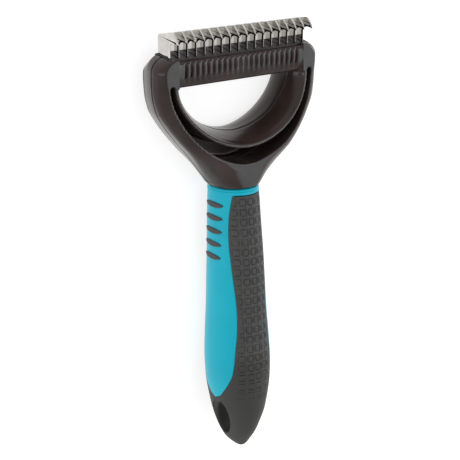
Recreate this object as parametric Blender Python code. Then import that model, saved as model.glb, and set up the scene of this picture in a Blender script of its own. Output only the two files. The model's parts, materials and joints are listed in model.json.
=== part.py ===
"""Dematting comb lying on its back: +X right, +Y towards the blades, +Z up out of the front face.

All sizes below are millimetres. Heights along the tool are measured from the butt, and the whole
tool is shifted by half its length at the end, so that the middle of its length is at Y = 0.
"""
import math

import bmesh
import bpy
from mathutils import Vector

MM = 0.001
GAP = 0.3                       # clearance between neighbouring pieces

# Overall
LENGTH = 200.0
MIDDLE = LENGTH / 2

# Blades
BLADE_COUNT = 17
BLADE_PITCH = 4.5
BLADE_THICK = 0.8
BLADE_BACK_Z = 8.7
STEM_FRONT_Z = 17.0
ROOT_Y = 181.4
THROAT_Y = 193.3
THROAT_APEX = (20.2, 195.7)     # (z, y)
TIP = (23.4, 195.2)
TOP_FRONT = (19.5, 200.0)
TOP_BACK = (9.9, 198.4)
BACK_CORNER_R = 1.2
ROD_R = 1.0
ROD_Z = (11.2, 14.6)
ROD_Y = 184.6

# Carrier that spaces the blades
CARRIER_HALF_X = 37.2
CARRIER_Z = (7.3, 18.2)
CARRIER_BOTTOM_Y = 179.6
CARRIER_TOP_Y = (189.6, 190.2, 188.4)   # at its back, behind the blades and at its front

# Head
PARTING_Z = 13.5
NECK_Y = 128.4
SHOULDER_Y = 184.2
SHOULDER_R = 7.2
HEAD_TOP_HALF = 36.2
FACE_Z = (20.5, 25.8)           # front face at the bar and below the window
NECK_FRONT_Z = 25.1
NECK_BACK_Z = 0.5
FACE_LEAN_Y = (145.0, 178.0)    # the face leans forward between these heights
TOP_SLOPE = 0.145               # the top drops this much for each mm forward
CROWN_Z = 8.7                   # and behind this line it falls away towards the back
CROWN_DROP = 4.6
CHEEK_DEPTH = 6.0
BACK_ROUND = 3.0
# (height, half width of the head, half width of its flat face)
HEAD_WIDTHS = [(128.4, 11.57, 1.2), (130.5, 13.91, 1.84), (132.0, 15.16, 2.3), (135.5, 18.3, 4.7),
               (140.5, 22.7, 11.6), (146.4, 27.67, 19.2), (152.5, 32.99, 24.6), (158.5, 37.48, 29.5),
               (165.6, 41.55, 35.0), (172.6, 43.1, 38.0), (180.0, 43.5, 39.8), (184.2, 43.4, 40.0)]
NECK_BLEND_Y = (128.4, 146.0)

# Finger window and the cored slots beside it
WINDOW_TOP_Y = 176.2
WINDOW_HALF = (34.5, 27.7)      # half width and depth of the loop's inner rim at the front
WINDOW_POWER = 1.85
WAIST_IN = 4.8                  # how far the tunnel narrows behind its front rim
WAIST_Z = 8.5
LOOP_WALL = 1.4
SLOT_HALF = (38.3, 36.4)
SLOT_POWER = 1.78
POCKET_FLOOR_Z = 7.0

# Ribbed thumb rest
RIB_COUNT = 23
RIB_PITCH = 2.85
GROOVE_WIDTH = 1.3
REST_HALF_X = 33.6
REST_TOP = (21.4, 187.4)        # (z, y) of its top edge
REST_BOTTOM_Z = 18.6

# Handle: (height, half width, half depth, height of the centre line above the back)
HANDLE = [(0.0, 0.4, 0.3, 18.8), (1.2, 2.3, 3.4, 18.0), (5.0, 5.8, 7.7, 16.5), (12.3, 8.8, 12.1, 16.2),
          (23.0, 12.0, 15.0, 16.6), (37.0, 14.5, 16.1, 16.4), (46.0, 15.0, 16.0, 16.1),
          (60.0, 14.3, 15.5, 15.6), (70.0, 13.5, 15.1, 15.2), (84.0, 12.8, 14.7, 14.7),
          (97.0, 12.3, 14.1, 14.3), (110.0, 11.8, 13.4, 13.6), (124.0, 11.2, 12.6, 13.0),
          (128.1, 10.9, 12.3, 12.8)]
RING_Y = (125.4, 128.1)
GRIP_THICK = 1.9
CORE_BOTTOM_Y = 25.0
TANG_HALF_X = 5.0
TANG_Z = (8.0, 19.0)
TANG_BOTTOM_Y = 108.0
# Front edge of the side panels, as (height, z); the back edge mirrors it in the centre line
PANEL_EDGE = [(28.4, 17.9), (29.6, 20.2), (32.0, 22.3), (36.6, 25.2), (42.0, 27.1), (49.0, 27.6),
              (59.0, 27.6), (69.4, 27.0), (77.0, 26.2), (90.8, 24.2), (101.3, 22.6), (107.5, 21.9),
              (115.0, 21.6), (127.0, 22.3)]
PAD_COUNT = 5
PAD_TOP_Y = 120.3
PAD_PITCH = 6.03
PAD_HALF = (1.25, 6.0)          # along the tool and across it
PAD_Z = 13.0
PAD_PROUD = 0.6
HOLE_CENTRE = (16.4, 17.0)      # (y, z)
HOLE_HALF = (9.4, 5.0)
HOLE_TILT = math.radians(17)


def clear_scene():
    for obj in list(bpy.data.objects):
        bpy.data.objects.remove(obj, do_unlink=True)


def material(name, colour, roughness, metallic=0.0):
    mat = bpy.data.materials.new(name)
    mat.use_nodes = True
    shader = mat.node_tree.nodes["Principled BSDF"]
    shader.inputs["Base Color"].default_value = (*colour, 1.0)
    shader.inputs["Roughness"].default_value = roughness
    shader.inputs["Metallic"].default_value = metallic
    return mat


def smoothstep(low, high, value):
    t = min(1.0, max(0.0, (value - low) / (high - low)))
    return t * t * (3 - 2 * t)


def through(points, column, value):
    """Smooth monotone curve through (position, value, ...) rows, read at one position."""
    xs = [row[0] for row in points]
    ys = [row[column] for row in points]
    value = min(xs[-1], max(xs[0], value))
    slopes = [(ys[i + 1] - ys[i]) / (xs[i + 1] - xs[i]) for i in range(len(xs) - 1)]
    ends = [slopes[0]] + [0.0] * (len(xs) - 2) + [slopes[-1]]
    for i in range(1, len(xs) - 1):
        if slopes[i - 1] * slopes[i] > 0:
            ends[i] = 2 * slopes[i - 1] * slopes[i] / (slopes[i - 1] + slopes[i])
    i = next(k for k in range(len(xs) - 1) if value <= xs[k + 1])
    span = xs[i + 1] - xs[i]
    t = (value - xs[i]) / span
    return (ys[i] * (1 + 2 * t) * (1 - t) ** 2 + ys[i + 1] * t * t * (3 - 2 * t)
            + span * (ends[i] * t * (1 - t) ** 2 - ends[i + 1] * t * t * (1 - t)))


def new_object(name, bm, mat=None):
    bmesh.ops.recalc_face_normals(bm, faces=bm.faces)
    mesh = bpy.data.meshes.new(name)
    bm.to_mesh(mesh)
    bm.free()
    obj = bpy.data.objects.new(name, mesh)
    bpy.context.collection.objects.link(obj)
    if mat:
        mesh.materials.append(mat)
    return obj


def cap_across(bm, row):
    """Closes a ring that is its own mirror image with strips from side to side, so it stays crowned."""
    half = len(row) // 2
    bm.faces.new([row[i] for i in (-2, -1, 0, 1, 2)])
    for i in range(2, half - 2):
        bm.faces.new((row[-i], row[i], row[i + 1], row[-i - 1]))
    bm.faces.new([row[i] for i in range(half - 2, half + 3)])


def loft(name, rings, mat=None, crowned=False):
    """A closed solid through rings of equally many points, given in mm from the butt."""
    bm = bmesh.new()
    rows = [[bm.verts.new(((x) * MM, (y - MIDDLE) * MM, z * MM)) for x, y, z in ring] for ring in rings]
    count = len(rows[0])
    for low, high in zip(rows, rows[1:]):
        for i in range(count):
            j = (i + 1) % count
            bm.faces.new((low[i], low[j], high[j], high[i]))
    bm.faces.new(rows[0][::-1])
    if crowned:
        cap_across(bm, rows[-1])
    else:
        bm.faces.new(rows[-1])
    bm.normal_update()
    bmesh.ops.triangulate(bm, faces=bm.faces)
    return new_object(name, bm, mat)


def block(name, x, y, z, mat=None):
    corners = [(x[0], z[0]), (x[1], z[0]), (x[1], z[1]), (x[0], z[1])]
    return loft(name, [[(cx, level, cz) for cx, cz in corners] for level in y], mat)


def prism_x(name, outline, x, mat=None):
    """An outline of (y, z) points extruded between two x positions."""
    return loft(name, [[(level, y, z) for y, z in outline] for level in x], mat)


def plate(name, outline, holes, x, mat):
    """A flat plate across X: an outline of (y, z) points with holes, given its thickness."""
    bm = bmesh.new()
    for loop in [outline] + holes:
        verts = [bm.verts.new((x[0] * MM, (y - MIDDLE) * MM, z * MM)) for y, z in loop]
        for a, b in zip(verts, verts[1:] + verts[:1]):
            bm.edges.new((a, b))
    bmesh.ops.triangle_fill(bm, edges=bm.edges, use_beauty=True)
    grown = bmesh.ops.extrude_face_region(bm, geom=list(bm.faces))["geom"]
    moved = [item for item in grown if isinstance(item, bmesh.types.BMVert)]
    bmesh.ops.translate(bm, vec=Vector(((x[1] - x[0]) * MM, 0, 0)), verts=moved)
    return new_object(name, bm, mat)


def hide_cutter(obj):
    obj.hide_render = True
    obj.display_type = "WIRE"


def boolean(obj, other, operation="DIFFERENCE", solver="EXACT"):
    mod = obj.modifiers.new(other.name, "BOOLEAN")
    mod.operation = operation
    mod.object = other
    mod.solver = solver
    hide_cutter(other)


def ellipse(centre, half, count, tilt=0.0):
    """Points of an ellipse as (first, second) pairs around its centre."""
    points = []
    for i in range(count):
        angle = 2 * math.pi * (i + 0.37) / count
        a = half[0] * math.cos(angle)
        b = half[1] * math.sin(angle)
        points.append((centre[0] + a * math.cos(tilt) - b * math.sin(tilt),
                       centre[1] + a * math.sin(tilt) + b * math.cos(tilt)))
    return points


# ---------------------------------------------------------------- blades
def blade_outline():
    """The hooked plate in the (y, z) plane, from the root round the hook and down the back."""
    bite = []
    apex_z, apex_y = THROAT_APEX
    for i in range(7):                       # throat: stem to apex, a quarter of an ellipse
        angle = math.pi * 0.5 * i / 6
        bite.append((THROAT_Y + (apex_y - THROAT_Y) * math.sin(angle),
                     apex_z - (apex_z - STEM_FRONT_Z) * math.cos(angle)))
    under_tip = [(apex_y - 0.12, apex_z + 1.6)]
    front = []
    for t in (0.25, 0.5, 0.75):              # slightly bowed front edge, from the tip to the top
        bow = 0.45 * math.sin(math.pi * t)
        front.append((TIP[1] + (TOP_FRONT[1] - TIP[1]) * t + bow * 0.6,
                      TIP[0] + (TOP_FRONT[0] - TIP[0]) * t + bow * 0.8))
    corner = []
    for i in range(4):
        angle = math.radians(90 * i / 3)
        corner.append((TOP_BACK[1] - BACK_CORNER_R + BACK_CORNER_R * math.cos(angle),
                       TOP_BACK[0] - BACK_CORNER_R * math.sin(angle)))
    root = [(ROOT_Y, BLADE_BACK_Z + GAP), (ROOT_Y, STEM_FRONT_Z - GAP), (THROAT_Y - 5.5, STEM_FRONT_Z)]
    return root + bite + under_tip + [(TIP[1], TIP[0])] + front + [(TOP_FRONT[1], TOP_FRONT[0])] + corner


def blade_x(index):
    return (index - (BLADE_COUNT - 1) / 2) * BLADE_PITCH


def make_blades(steel):
    holes = [ellipse((ROD_Y, z), (ROD_R + GAP, ROD_R + GAP), 12) for z in ROD_Z]
    for index in range(BLADE_COUNT):
        x = blade_x(index)
        plate(f"blade_{index + 1:02d}", blade_outline(), holes,
              (x - BLADE_THICK / 2, x + BLADE_THICK / 2), steel)


def make_rods(steel):
    for name, z in zip(("blade_rod_rear", "blade_rod_front"), ROD_Z):
        prism_x(name, ellipse((ROD_Y, z), (ROD_R, ROD_R), 16), (-CARRIER_HALF_X, CARRIER_HALF_X), steel)


# ---------------------------------------------------------------- carrier
def make_carrier(plastic):
    back, front = CARRIER_Z
    top_back, top_middle, top_front = CARRIER_TOP_Y
    outline = [(CARRIER_BOTTOM_Y, back), (CARRIER_BOTTOM_Y, front), (top_front, front),
               (top_middle, BLADE_BACK_Z - GAP), (top_back, back)]
    carrier = prism_x("blade_carrier", outline, (-CARRIER_HALF_X, CARRIER_HALF_X), plastic)
    reach = BLADE_THICK / 2 + GAP
    for index in range(BLADE_COUNT):
        x = blade_x(index)
        slot = block(f"blade_slot_{index + 1:02d}", (x - reach, x + reach), (ROOT_Y - GAP, MIDDLE * 2),
                     (BLADE_BACK_Z - GAP, STEM_FRONT_Z + GAP))
        boolean(carrier, slot)
    for number, z in enumerate(ROD_Z):
        bore = prism_x(f"rod_bore_{number + 1}", ellipse((ROD_Y, z), (ROD_R + GAP, ROD_R + GAP), 12),
                       (-CARRIER_HALF_X - 1, CARRIER_HALF_X + 1))
        boolean(carrier, bore, solver="MANIFOLD")


# ---------------------------------------------------------------- head
def face_z(y):
    lean = FACE_Z[1] + (FACE_Z[0] - FACE_Z[1]) * smoothstep(*FACE_LEAN_Y, y)
    return lean + (NECK_FRONT_Z - FACE_Z[1]) * (1 - smoothstep(NECK_Y, FACE_LEAN_Y[0], y))


def head_half_width(y):
    if y <= SHOULDER_Y:
        return through(HEAD_WIDTHS, 1, y)
    rise = min(1.0, (y - SHOULDER_Y) / SHOULDER_R)
    return HEAD_TOP_HALF + SHOULDER_R * math.sqrt(1 - rise * rise)


def head_section(y, inset=0.0):
    """One section across the head, as (x, z) points for the +X half, from the front to the back."""
    width = head_half_width(y) - inset
    flat = min(through(HEAD_WIDTHS, 2, y), width - 1.2)
    front = face_z(y) - inset
    back = NECK_BACK_Z * (1 - smoothstep(*NECK_BLEND_Y, y)) + inset
    blend = smoothstep(NECK_BLEND_Y[0], NECK_BLEND_Y[1], y)
    start = math.radians(22)
    half = [((0.0, front), 0.0), ((flat, front), math.asin(min(1.0, flat / width)))]
    for i in range(1, 6):
        angle = start + (math.pi / 2 - start) * i / 5
        x = flat + (width - flat) * (math.sin(angle) - math.sin(start)) / (1 - math.sin(start))
        z = front - CHEEK_DEPTH * (math.cos(start) - math.cos(angle)) / math.cos(start)
        first = half[1][1]
        half.append(((x, z), first + (math.pi / 2 - first) * i / 5))
    side_top = front - CHEEK_DEPTH
    for i in (1, 2, 3):
        t = i / 3
        z = side_top + (back + BACK_ROUND - side_top) * t
        half.append(((width - 3.4 * t ** 1.4, z), math.radians(90 + 40 * t)))
    for i in (1, 2, 3):
        angle = math.radians(90 * i / 3)
        half.append(((width - 3.4 - BACK_ROUND * (1 - math.cos(angle)),
                      back + BACK_ROUND * (1 - math.sin(angle))), math.radians(130 + 10 * i)))
    half.append(((0.0, back), math.pi))
    round_half = (front - back) / 2
    centre = (front + back) / 2
    points = []
    for (x, z), angle in half:
        round_x = width * math.sin(angle)
        round_z = centre + round_half * math.cos(angle)
        points.append((round_x + (x - round_x) * blend, round_z + (z - round_z) * blend))
    return points


def top_fall(z):
    """How far the top lies below its nominal height, going from front to back."""
    behind = max(0.0, CROWN_Z - z) / CROWN_Z
    return TOP_SLOPE * max(z, CROWN_Z) + CROWN_DROP * behind ** 1.2


def head_rings():
    rows = [NECK_Y, 130.0, 131.6, 133.4, 135.5, 138.0, 141.0, 144.5, 148.0, 152.0, 156.0, 160.0, 164.0,
            168.0, 172.0, 176.0, 180.0, SHOULDER_Y]
    rows += [SHOULDER_Y + SHOULDER_R * math.sin(math.radians(a)) for a in (18, 36, 54, 70, 84)]
    rings = []
    for y in rows:
        half = head_section(y)
        ring = [(x, z) for x, z in half] + [(-x, z) for x, z in half[-2:0:-1]]
        share = smoothstep(176.0, SHOULDER_Y + SHOULDER_R, y)
        rings.append([(x, y - share * top_fall(z), z) for x, z in ring])
    return rings


def d_outline(half, power, count=28):
    """The D under the bar: straight along the top, a superellipse below, as (x, y) points."""
    points = []
    for i in range(count + 1):
        angle = math.pi * i / count
        c, s = math.cos(angle), math.sin(angle)
        x = half[0] * math.copysign(abs(c) ** (2 / power), c)
        points.append((x, WINDOW_TOP_Y - half[1] * abs(s) ** (2 / power)))
    return points


def window_cutter():
    """The tunnel through the loop: wide at the front rim, narrowest at the waist, eased at the back."""
    front_levels = [(1.6, -2.4), (1.0, 0.0), (0.85, 1.3), (0.6, 3.0), (0.33, 4.2), (0.0, WAIST_IN)]
    rear_levels = [(4.0, WAIST_IN - 0.6), (1.0, WAIST_IN - 2.4), (-5.0, WAIST_IN - 6.0)]
    rings = []
    for share, inward in front_levels:
        half = (WINDOW_HALF[0] - inward, WINDOW_HALF[1] - inward)
        rings.append([(x, y, WAIST_Z + (face_z(y) - WAIST_Z) * share)
                      for x, y in d_outline(half, WINDOW_POWER)])
    for z, inward in rear_levels:
        half = (WINDOW_HALF[0] - inward, WINDOW_HALF[1] - inward)
        rings.append([(x, y, z) for x, y in d_outline(half, WINDOW_POWER)])
    return loft("window_cutter", rings)


def slot_outline():
    """Closed outline of the side slots and the crescent pocket between the loop and the yoke."""
    outer = d_outline(SLOT_HALF, SLOT_POWER)
    inner_half = (WINDOW_HALF[0] + LOOP_WALL, WINDOW_HALF[1] + LOOP_WALL)
    inner = d_outline(inner_half, WINDOW_POWER)
    middle = (SLOT_HALF[0] + inner_half[0]) / 2
    radius = (SLOT_HALF[0] - inner_half[0]) / 2
    round_end = [(radius * math.cos(math.radians(a)), radius * math.sin(math.radians(a)))
                 for a in (45, 90, 135)]
    left_end = [(x - middle, WINDOW_TOP_Y + y) for x, y in reversed(round_end)]
    right_end = [(x + middle, WINDOW_TOP_Y + y) for x, y in reversed(round_end)]
    return outer + left_end + inner[::-1] + right_end


def slot_cutter():
    outline = slot_outline()
    return loft("slot_cutter", [[(x, y, z) for x, y in outline] for z in (POCKET_FLOOR_Z, 40.0)])


def rest_cutter():
    """Trims the bar's front to the thumb rest, which falls back from its top edge."""
    top_z, top_y = REST_TOP
    outline = [(WINDOW_TOP_Y - 3, REST_BOTTOM_Z), (WINDOW_TOP_Y + 1.5, REST_BOTTOM_Z),
               (WINDOW_TOP_Y + 6, REST_BOTTOM_Z + 1.2), (top_y - 1.0, top_z - 0.3),
               (top_y, 40.0), (WINDOW_TOP_Y - 3, 40.0)]
    return prism_x("rest_cutter", outline, (-REST_HALF_X, REST_HALF_X))


def groove_cutters():
    top_z, top_y = REST_TOP
    cutters = []
    for index in range(RIB_COUNT - 1):
        x = (index - (RIB_COUNT - 2) / 2) * RIB_PITCH
        outline = [(top_y - 8.0, 20.4), (top_y - 4.0, 18.9), (top_y + 3.0, 19.6), (top_y + 3.0, 30.0),
                   (top_y - 8.0, 30.0)]
        cutters.append(prism_x(f"groove_{index + 1:02d}", outline,
                               (x - GROOVE_WIDTH / 2, x + GROOVE_WIDTH / 2)))
    return cutters


def make_head(plastic):
    rings = head_rings()
    front = loft("head_front_shell", rings, plastic, crowned=True)
    rear = loft("head_rear_shell", rings, plastic, crowned=True)
    window, slots = window_cutter(), slot_cutter()
    cavity = block("carrier_cavity", (-CARRIER_HALF_X - GAP, CARRIER_HALF_X + GAP),
                   (CARRIER_BOTTOM_Y - GAP, 220.0), (CARRIER_Z[0] - GAP, CARRIER_Z[1] + GAP))
    sides = {
        "front": (front, (PARTING_Z + GAP / 2, 60.0)),
        "rear": (rear, (-20.0, PARTING_Z - GAP / 2)),
    }
    tang = block("tang", (-TANG_HALF_X, TANG_HALF_X), (TANG_BOTTOM_Y, NECK_Y + 4), TANG_Z)
    for name, (shell, keep) in sides.items():
        half = block(f"{name}_half", (-80, 80), (100, 240), keep)
        boolean(shell, tang, "UNION")
        boolean(shell, half, "INTERSECT")
        boolean(shell, window)
        boolean(shell, slots)
        boolean(shell, cavity)
    boolean(front, rest_cutter())
    for cutter in groove_cutters():
        boolean(front, cutter)


# ---------------------------------------------------------------- handle
def handle_rings(rows, inset=0.0, count=32):
    rings = []
    for y in rows:
        half_x = max(0.3, through(HANDLE, 1, y) - inset)
        half_z = max(0.3, through(HANDLE, 2, y) - inset)
        centre = through(HANDLE, 3, y)
        rings.append([(x, y, z) for x, z in ellipse((0.0, centre), (half_x, half_z), count)])
    return rings


def rows_between(low, high, step):
    count = max(1, round((high - low) / step))
    return [low + (high - low) * i / count for i in range(count + 1)]


def handle_loft(name, low, high, inset, mat=None, step=8.0):
    return loft(name, handle_rings(rows_between(low, high, step), inset), mat)


def panel_cutter(name, grow):
    """The side panels' outline, extruded right across the handle."""
    front, back = [], []
    for row in PANEL_EDGE:
        y, z = row
        centre = through(HANDLE, 3, y)
        front.append((y, z + grow))
        back.append((y, 2 * centre - z - grow))
    front[0] = (front[0][0] - grow, front[0][1])
    back[0] = (back[0][0] - grow, back[0][1])
    return prism_x(name, front + back[::-1], (-30, 30))


def pad_y(index):
    return PAD_TOP_Y - PAD_PITCH * index


def pad_prism(name, index, side, grow, mat=None):
    outline = ellipse((pad_y(index), PAD_Z), (PAD_HALF[0] + grow, PAD_HALF[1] + grow), 20)
    return prism_x(name, outline, sorted((side * 4.0, side * 20.0)), mat)


def hang_hole(name):
    return prism_x(name, ellipse(HOLE_CENTRE, HOLE_HALF, 24, HOLE_TILT), (-30, 30))


def make_handle(teal, soft):
    body = handle_loft("handle_body", CORE_BOTTOM_Y + GAP, RING_Y[0] + 1.0, GRIP_THICK + GAP, teal)
    panels = handle_loft("panel_skin", CORE_BOTTOM_Y, RING_Y[0] + 1.0, 0.0)
    boolean(panels, panel_cutter("panel_outline", -GAP / 2), "INTERSECT")
    for side_name, side in (("left", -1), ("right", 1)):
        for index in range(PAD_COUNT):
            boolean(panels, pad_prism(f"pad_recess_{side_name}_{index + 1}", index, side, GAP))
    boolean(body, panels, "UNION")
    ring = handle_loft("collar_ring", *RING_Y, -0.1)
    boolean(body, ring, "UNION")
    socket = block("tang_socket", (-TANG_HALF_X - GAP, TANG_HALF_X + GAP),
                   (TANG_BOTTOM_Y - GAP, RING_Y[1] + 5), (TANG_Z[0] - GAP, TANG_Z[1] + GAP))
    boolean(body, socket)

    grip = loft("grip_overmould", handle_rings([0.0, 0.5, 1.2, 2.4, 4.2, 7.0, 11.0, 16.0, 23.0, 30.0, 37.0]
                + rows_between(37.0, RING_Y[0] - GAP, 8.0)[1:]), soft)
    boolean(grip, handle_loft("grip_core", CORE_BOTTOM_Y, RING_Y[1] + 5, GRIP_THICK))
    boolean(grip, panel_cutter("panel_opening", GAP / 2))
    boolean(grip, hang_hole("hang_hole"))


def make_pads(soft):
    for side_name, side in (("left", -1), ("right", 1)):
        for index in range(PAD_COUNT):
            pad = pad_prism(f"grip_pad_{side_name}_{index + 1}", index, side, 0.0, soft)
            low, high = pad_y(index) - 4, pad_y(index) + 4
            label = f"{side_name}_{index + 1}"
            boolean(pad, handle_loft(f"pad_crown_{label}", low, high, -PAD_PROUD), "INTERSECT")
            boolean(pad, handle_loft(f"pad_seat_{label}", low - 1, high + 1, GRIP_THICK))


def main():
    clear_scene()
    steel = material("stainless_steel", (0.78, 0.77, 0.74), 0.12, 1.0)
    plastic = material("dark_abs", (0.052, 0.045, 0.04), 0.3)
    teal = material("teal_abs", (0.0, 0.44, 0.54), 0.35)
    soft = material("charcoal_tpe", (0.07, 0.07, 0.068), 0.7)
    make_blades(steel)
    make_rods(steel)
    make_carrier(plastic)
    make_head(plastic)
    make_handle(teal, soft)
    make_pads(soft)


main()
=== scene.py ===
# %% [markdown]
# # A dematting comb
#
# A hand tool for cutting knots out of a dog's coat: seventeen hooked steel blades in a row, a
# D-shaped moulded head with a finger window, and a two-colour handle. The CAD model settles where
# every part is. This script gives the parts their fine surface, their finishes and a studio.
#
# The tool lies on its back, so +Y runs from the butt to the blades, +X is to the right and +Z comes
# out of the front face.

# %% Load the frame
import json
import math

import bmesh
import bpy
from mathutils import Matrix, Vector

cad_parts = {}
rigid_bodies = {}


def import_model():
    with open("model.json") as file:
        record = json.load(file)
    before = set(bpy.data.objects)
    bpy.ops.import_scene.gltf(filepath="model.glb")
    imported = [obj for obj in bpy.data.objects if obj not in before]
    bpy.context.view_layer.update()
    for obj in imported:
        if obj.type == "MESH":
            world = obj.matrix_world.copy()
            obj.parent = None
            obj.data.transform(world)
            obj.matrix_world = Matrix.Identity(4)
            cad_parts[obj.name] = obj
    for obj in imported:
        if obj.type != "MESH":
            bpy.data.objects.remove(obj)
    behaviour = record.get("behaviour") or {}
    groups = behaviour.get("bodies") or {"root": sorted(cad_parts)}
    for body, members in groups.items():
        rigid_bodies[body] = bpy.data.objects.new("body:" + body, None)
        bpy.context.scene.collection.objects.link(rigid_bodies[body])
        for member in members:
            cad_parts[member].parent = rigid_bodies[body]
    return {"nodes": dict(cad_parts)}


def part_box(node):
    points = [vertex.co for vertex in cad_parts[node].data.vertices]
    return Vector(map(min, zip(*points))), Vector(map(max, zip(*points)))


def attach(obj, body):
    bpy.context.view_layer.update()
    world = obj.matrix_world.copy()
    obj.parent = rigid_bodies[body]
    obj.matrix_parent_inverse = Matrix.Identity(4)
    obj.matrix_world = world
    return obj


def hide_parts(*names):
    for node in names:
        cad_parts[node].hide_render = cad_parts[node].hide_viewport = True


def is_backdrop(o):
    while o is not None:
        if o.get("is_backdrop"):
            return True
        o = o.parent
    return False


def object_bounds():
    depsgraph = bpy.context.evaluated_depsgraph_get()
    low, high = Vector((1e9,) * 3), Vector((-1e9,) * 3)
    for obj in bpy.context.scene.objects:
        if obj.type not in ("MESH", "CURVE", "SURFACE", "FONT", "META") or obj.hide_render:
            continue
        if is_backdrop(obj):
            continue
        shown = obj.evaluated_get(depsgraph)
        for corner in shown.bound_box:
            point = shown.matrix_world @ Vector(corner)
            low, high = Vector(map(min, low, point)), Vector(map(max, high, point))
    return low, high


for obj in list(bpy.data.objects):
    bpy.data.objects.remove(obj, do_unlink=True)
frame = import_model()
CAD_LOW, CAD_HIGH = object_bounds()
MM = 0.001
BUTT = CAD_LOW.y / MM
print("CAD size in mm", [round(v / MM, 1) for v in CAD_HIGH - CAD_LOW])


# %% [markdown]
# ## Small helpers
#
# The shapes follow a few rows of sizes, read from a smooth curve, so a short table makes a long
# flowing handle. Heights along the tool are measured in millimetres from the butt.

# %% Curves through a few rows of sizes
def smoothstep(low, high, value):
    t = min(1.0, max(0.0, (value - low) / (high - low)))
    return t * t * (3 - 2 * t)


def through(rows, column, value):
    """A smooth curve through (position, value, ...) rows that never overshoots them."""
    xs = [row[0] for row in rows]
    ys = [row[column] for row in rows]
    value = min(xs[-1], max(xs[0], value))
    slopes = [(b - a) / (d - c) for a, b, c, d in zip(ys, ys[1:], xs, xs[1:])]
    ends = [slopes[0]] + [0.0] * (len(xs) - 2) + [slopes[-1]]
    for i in range(1, len(xs) - 1):
        if slopes[i - 1] * slopes[i] > 0:
            ends[i] = 2 * slopes[i - 1] * slopes[i] / (slopes[i - 1] + slopes[i])
    i = next(k for k in range(len(xs) - 1) if value <= xs[k + 1])
    span = xs[i + 1] - xs[i]
    t = (value - xs[i]) / span
    return (ys[i] * (1 + 2 * t) * (1 - t) ** 2 + ys[i + 1] * t * t * (3 - 2 * t)
            + span * (ends[i] * t * (1 - t) ** 2 - ends[i + 1] * t * t * (1 - t)))


def place(x, y, z):
    """A point in metres from millimetres, with y measured from the butt."""
    return Vector((x, y + BUTT, z)) * MM


# %% [markdown]
# Most pieces start as a flat grid that is rolled up: each vertex of the grid has two shares, one
# round the piece and one along it, and a function says where that point belongs. Merging the seam
# and filling the ends closes it. It gives even quads, which shade cleanly.

# %% A grid rolled into a closed solid
def rolled(name, around, along, where):
    bm = bmesh.new()
    bmesh.ops.create_grid(bm, x_segments=around, y_segments=along, size=0.5)
    for vert in bm.verts:
        vert.co = place(*where(vert.co.x + 0.5, vert.co.y + 0.5))
    bmesh.ops.remove_doubles(bm, verts=bm.verts, dist=1e-7)
    open_edges = [edge for edge in bm.edges if edge.is_boundary]
    bmesh.ops.holes_fill(bm, edges=open_edges, sides=0)
    return to_object(name, bm)


def to_object(name, bm):
    bmesh.ops.recalc_face_normals(bm, faces=bm.faces)
    mesh = bpy.data.meshes.new(name)
    bm.to_mesh(mesh)
    bm.free()
    obj = bpy.data.objects.new(name, mesh)
    bpy.context.collection.objects.link(obj)
    return obj


def extruded(name, outline, low, high):
    """An outline of (y, z) points made a solid between two x positions."""
    bm = bmesh.new()
    verts = [bm.verts.new(place(low, y, z)) for y, z in outline]
    face = bm.faces.new(verts)
    grown = bmesh.ops.extrude_face_region(bm, geom=[face])["geom"]
    moved = [item for item in grown if isinstance(item, bmesh.types.BMVert)]
    bmesh.ops.translate(bm, vec=Vector((high - low, 0, 0)) * MM, verts=moved)
    return to_object(name, bm)


def block(name, x, y, z):
    return extruded(name, [(y[0], z[0]), (y[1], z[0]), (y[1], z[1]), (y[0], z[1])], *x)


# %% [markdown]
# Holes and recesses are cut by Boolean modifiers. A moulded piece is then remeshed finely and
# smoothed a little, because plastic from a tool never has a knife edge: the smoothing leaves the
# small fillets that catch the light.

# %% Cutting, baking modifiers and remeshing
def cut(obj, other, operation="DIFFERENCE"):
    mod = obj.modifiers.new("cut", "BOOLEAN")
    mod.operation = operation
    mod.object = other
    mod.solver = "EXACT"


def settle(obj):
    """Makes what the modifiers show the object's own mesh."""
    graph = bpy.context.evaluated_depsgraph_get()
    mesh = bpy.data.meshes.new_from_object(obj.evaluated_get(graph))
    old = obj.data
    obj.modifiers.clear()
    obj.data = mesh
    bpy.data.meshes.remove(old)


def moulded(obj, voxel, rounds):
    """Remeshes at a voxel in mm and eases the edges."""
    remesh = obj.modifiers.new("skin", "REMESH")
    remesh.mode = "VOXEL"
    remesh.voxel_size = voxel * MM
    ease = obj.modifiers.new("ease", "SMOOTH")
    ease.factor = 0.5
    ease.iterations = rounds
    settle(obj)
    obj.data.shade_smooth()
    print(obj.name, len(obj.data.polygons), "faces")


def discard(*objects):
    for obj in objects:
        bpy.data.objects.remove(obj, do_unlink=True)


# %% [markdown]
# ## Finishes
#
# Every finish is a Principled shader with a few nodes before it. One function turns a familiar hex
# colour into the linear numbers that the renderer wants, and one adds a node with its settings and
# links.

# %% Colour and nodes
def linear(hex_colour):
    channels = [int(hex_colour[i:i + 2], 16) / 255 for i in (1, 3, 5)]
    return tuple(c / 12.92 if c <= 0.04045 else ((c + 0.055) / 1.055) ** 2.4 for c in channels) + (1.0,)


def new_finish(name, **sockets):
    mat = bpy.data.materials.new(name)
    mat.use_nodes = True
    shader = mat.node_tree.nodes["Principled BSDF"]
    for socket, value in sockets.items():
        shader.inputs[socket.replace("_", " ")].default_value = value
    return mat, shader


def add(mat, kind, links=None, inputs=None, **settings):
    """One node: its settings, its fixed inputs, and what is linked into it."""
    node = mat.node_tree.nodes.new(kind)
    for key, value in settings.items():
        setattr(node, key, value)
    for key, value in (inputs or {}).items():
        node.inputs[key].default_value = value
    for key, source in (links or {}).items():
        mat.node_tree.links.new(source, node.inputs[key])
    return node


def link(mat, source, shader, socket):
    mat.node_tree.links.new(source, shader.inputs[socket])


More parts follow.
